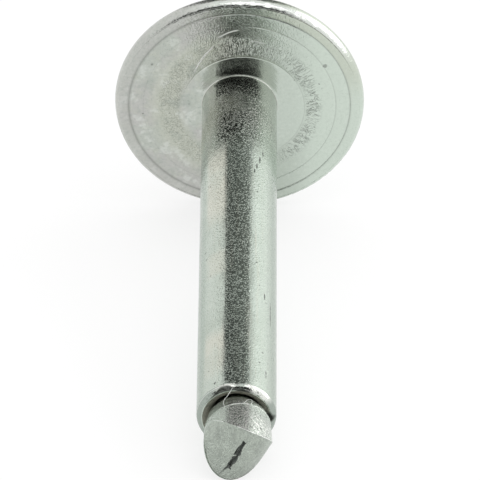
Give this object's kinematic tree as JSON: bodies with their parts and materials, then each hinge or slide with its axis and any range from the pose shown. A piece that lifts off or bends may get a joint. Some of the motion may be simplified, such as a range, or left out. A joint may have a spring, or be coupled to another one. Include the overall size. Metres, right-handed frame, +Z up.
{
  "type": "large flange blind rivet",
  "caption": "Unset blind rivet with a wide domed flange, a hollow sleeve and a pull mandrel, for fastening soft or thin sheets from one side.",
  "frame": {"origin": "where the axis of the shank meets the flange's bearing face", "axes": "+Z up, with the rivet lying as it comes to rest on its flange rim and mandrel head; the blind end points to -Y and down by the lying angle, the mandrel's tail points to +Y and up"},
  "size_m": [0.016, 0.0647, 0.0158],
  "materials": {
    "sleeve_steel": "bright zinc plate over cold headed steel, satin with a fine orange peel",
    "mandrel_steel": "zinc plated steel wire, satin, duller where the end was pinched"
  },
  "bodies": {
    "root": {"rivet_body": "sleeve_steel", "mandrel": "mandrel_steel"}
  },
  "joints": []
}
